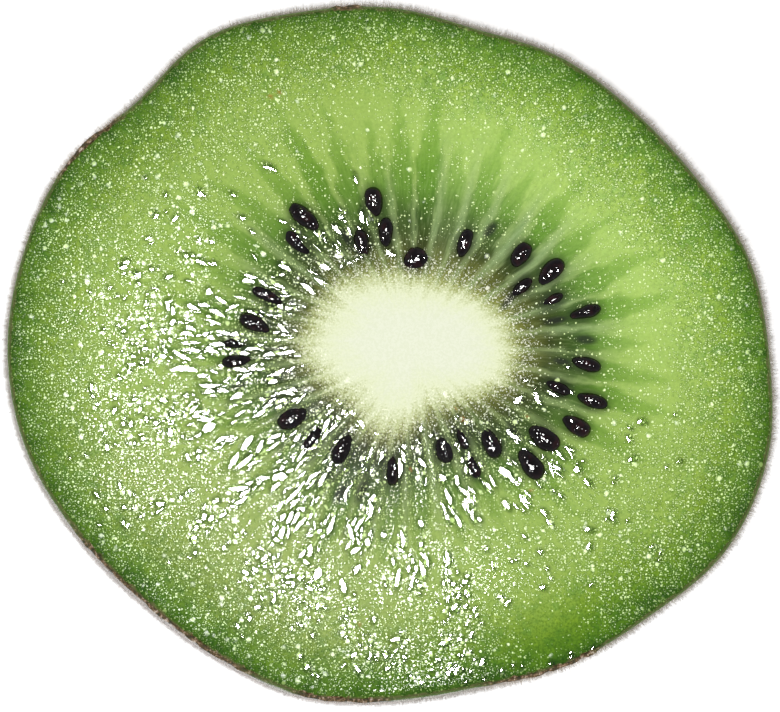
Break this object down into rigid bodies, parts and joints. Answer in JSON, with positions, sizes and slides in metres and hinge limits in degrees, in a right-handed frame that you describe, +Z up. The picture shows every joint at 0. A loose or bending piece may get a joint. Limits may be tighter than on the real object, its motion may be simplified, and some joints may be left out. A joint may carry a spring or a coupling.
{
  "type": "kiwi fruit half",
  "caption": "Crosswise half of a kiwi fruit, resting on its end with the wet green cut face, pale core and ring of dark seeds on top.",
  "frame": {"origin": "middle of the small flat foot that the half rests on, straight below the middle of the cut face", "axes": "+Z up, out of the cut face; +X along the cut face's longest width; +Y across it"},
  "size_m": [0.0523, 0.0476, 0.0341],
  "materials": {
    "flesh": "wet translucent green flesh with a creamy core, paler ribs and dark green pockets",
    "skin": "dull brown skin with short fuzz",
    "seed": "glossy purple-black seed coat",
    "juice": "clear wet beads of juice"
  },
  "bodies": {
    "root": {"kiwi_half": "flesh"}
  },
  "joints": []
}
